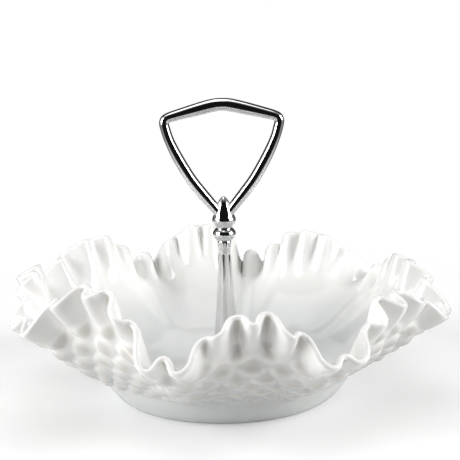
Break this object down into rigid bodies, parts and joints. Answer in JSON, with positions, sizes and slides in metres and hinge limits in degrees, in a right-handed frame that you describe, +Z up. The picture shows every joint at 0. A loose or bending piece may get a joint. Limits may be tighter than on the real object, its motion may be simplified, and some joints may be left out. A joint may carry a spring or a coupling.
{
  "type": "centre-handled serving bowl",
  "caption": "Shallow footed serving bowl in white milk glass with a ruffled, crimped rim, and a chromed loop handle on a fluted column bolted through its floor.",
  "frame": {"origin": "centre of the foot ring, on the table", "axes": "+Z up along the column; the loop handle lies in the XZ plane, and -Y is the front"},
  "size_m": [0.2159, 0.2173, 0.145],
  "materials": {
    "milk_glass": "opaque white pressed glass, fire-polished gloss",
    "chrome": "bright chrome plate",
    "zinc_steel": "zinc-plated steel, dull",
    "rubber": "matt black rubber"
  },
  "bodies": {
    "dish": {"bowl": "milk_glass", "upper_gasket": "rubber"},
    "handle": {"seat_washer": "chrome", "column": "chrome", "neck_bead": "chrome", "loop_socket": "chrome", "handle_loop": "chrome", "tie_rod": "zinc_steel"},
    "clamp_stack": {"lower_gasket": "rubber", "cup_washer": "zinc_steel", "lock_washer": "zinc_steel"},
    "nut": {"hex_nut": "zinc_steel"}
  },
  "joints": [
    {"name": "handle_swivel", "type": "hinge", "parent": "dish", "child": "handle", "pos_m": [0, 0, 0], "axis": [0, 0, 1], "continuous": true},
    {"name": "clamp_drop", "type": "slide", "parent": "handle", "child": "clamp_stack", "axis": [0, 0, -1], "range_m": [0, 0.004]},
    {"name": "nut_turn", "type": "hinge", "parent": "clamp_stack", "child": "nut", "pos_m": [0, 0, 0], "axis": [0, 0, -1], "range_deg": [0, 1800]}
  ],
  "couplings": [
    {"joint": "nut_turn", "follows": "clamp_drop", "rad_per_m": 7854}
  ]
}
